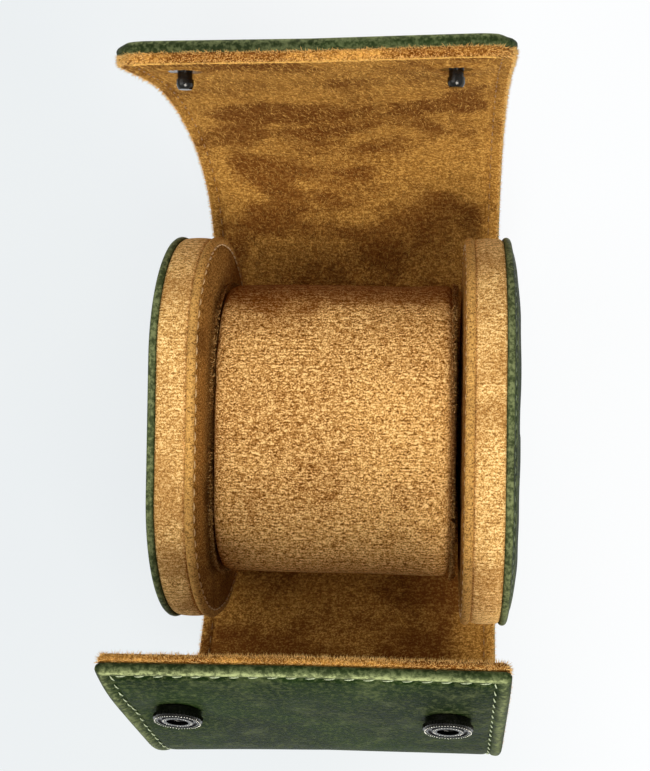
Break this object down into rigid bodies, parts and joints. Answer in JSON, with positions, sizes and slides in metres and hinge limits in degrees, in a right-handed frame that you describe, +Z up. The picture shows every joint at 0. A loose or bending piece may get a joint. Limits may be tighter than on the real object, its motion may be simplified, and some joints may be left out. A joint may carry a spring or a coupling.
{
  "type": "watch travel case",
  "caption": "Leather travel case for one watch, with oval suede end panels, a lift-out cushion and two flaps that snap shut.",
  "frame": {"origin": "middle of the flat underside of the base, on the surface that the case stands on", "axes": "+Z up, +X from the left end panel to the right one, +Y towards the far flap with the studs"},
  "size_m": [0.085, 0.1567, 0.109],
  "materials": {
    "leather": "dark green smooth leather",
    "suede": "tan microsuede",
    "cushion_suede": "tan microsuede",
    "board": "grey stiffening board",
    "foam": "soft foam",
    "snap_metal": "black nickel plating"
  },
  "bodies": {
    "base": {"base_leather": "leather", "base_lining": "suede", "base_board": "board", "left_end_cover": "leather", "left_end_padding": "foam", "left_end_board": "board", "left_end_gusset": "suede", "left_end_core": "foam", "left_end_inner_panel": "suede", "right_end_cover": "leather", "right_end_padding": "foam", "right_end_board": "board", "right_end_gusset": "suede", "right_end_core": "foam", "right_end_inner_panel": "suede"},
    "far_1": {"far_leather_1": "leather", "far_lining_1": "suede"},
    "far_2": {"far_leather_2": "leather", "far_lining_2": "suede"},
    "far_3": {"far_leather_3": "leather", "far_lining_3": "suede"},
    "far_4": {"far_leather_4": "leather", "far_lining_4": "suede"},
    "far_5": {"far_leather_5": "leather", "far_lining_5": "suede"},
    "far_6": {"far_leather_6": "leather", "far_lining_6": "suede", "stud_posts": "snap_metal", "stud_caps": "snap_metal"},
    "near_1": {"near_leather_1": "leather", "near_lining_1": "suede"},
    "near_2": {"near_leather_2": "leather", "near_lining_2": "suede"},
    "near_3": {"near_leather_3": "leather", "near_lining_3": "suede"},
    "near_4": {"near_leather_4": "leather", "near_lining_4": "suede", "socket_caps": "snap_metal", "socket_springs": "snap_metal", "socket_backs": "snap_metal"},
    "cushion": {"cushion_cover": "cushion_suede", "cushion_core": "foam"}
  },
  "joints": [
    {"name": "far_fold", "type": "hinge", "parent": "base", "child": "far_1", "pos_m": [0, 0.02, 0.0017], "axis": [1, 0, 0], "range_deg": [-2, 6.94]},
    {"name": "far_bend_2", "type": "hinge", "parent": "far_1", "child": "far_2", "pos_m": [0, 0.037, 0.00192], "axis": [1, 0, 0], "range_deg": [-8.21, 28.48]},
    {"name": "far_bend_3", "type": "hinge", "parent": "far_2", "child": "far_3", "pos_m": [0, 0.06544, 0.01641], "axis": [1, 0, 0], "range_deg": [-0.89, 3.07]},
    {"name": "far_curl", "type": "hinge", "parent": "far_3", "child": "far_4", "pos_m": [0, 0.07424, 0.03369], "axis": [1, 0, 0], "range_deg": [-6, 8.33]},
    {"name": "far_bend_5", "type": "hinge", "parent": "far_4", "child": "far_5", "pos_m": [0, 0.07877, 0.06075], "axis": [1, 0, 0], "range_deg": [-16.97, 23.56]},
    {"name": "far_bend_6", "type": "hinge", "parent": "far_5", "child": "far_6", "pos_m": [0, 0.07773, 0.08069], "axis": [1, 0, 0], "range_deg": [-8.02, 11.13]},
    {"name": "near_fold", "type": "hinge", "parent": "base", "child": "near_1", "pos_m": [0, -0.02, 0.0017], "axis": [-1, 0, 0], "range_deg": [-6, 8.88]},
    {"name": "near_bend_2", "type": "hinge", "parent": "near_1", "child": "near_2", "pos_m": [0, -0.03578, 0.00399], "axis": [-1, 0, 0], "range_deg": [-13.08, 19.36]},
    {"name": "near_bend_3", "type": "hinge", "parent": "near_2", "child": "near_3", "pos_m": [0, -0.05835, 0.01451], "axis": [-1, 0, 0], "range_deg": [-8.94, 13.23]},
    {"name": "near_curl", "type": "hinge", "parent": "near_3", "child": "near_4", "pos_m": [0, -0.06863, 0.0671], "axis": [-1, 0, 0], "range_deg": [-12, 18.38]},
    {"name": "cushion_lift", "type": "slide", "parent": "base", "child": "cushion", "axis": [0, 0, -1], "range_m": [-0.075, 0]}
  ],
  "couplings": [
    {"joint": "far_bend_2", "follows": "far_fold", "ratio": 4.1056},
    {"joint": "far_bend_3", "follows": "far_fold", "ratio": 0.44255},
    {"joint": "far_bend_5", "follows": "far_curl", "ratio": 2.8288},
    {"joint": "far_bend_6", "follows": "far_curl", "ratio": 1.336},
    {"joint": "near_bend_2", "follows": "near_fold", "ratio": 2.1792},
    {"joint": "near_bend_3", "follows": "near_fold", "ratio": 1.489}
  ]
}
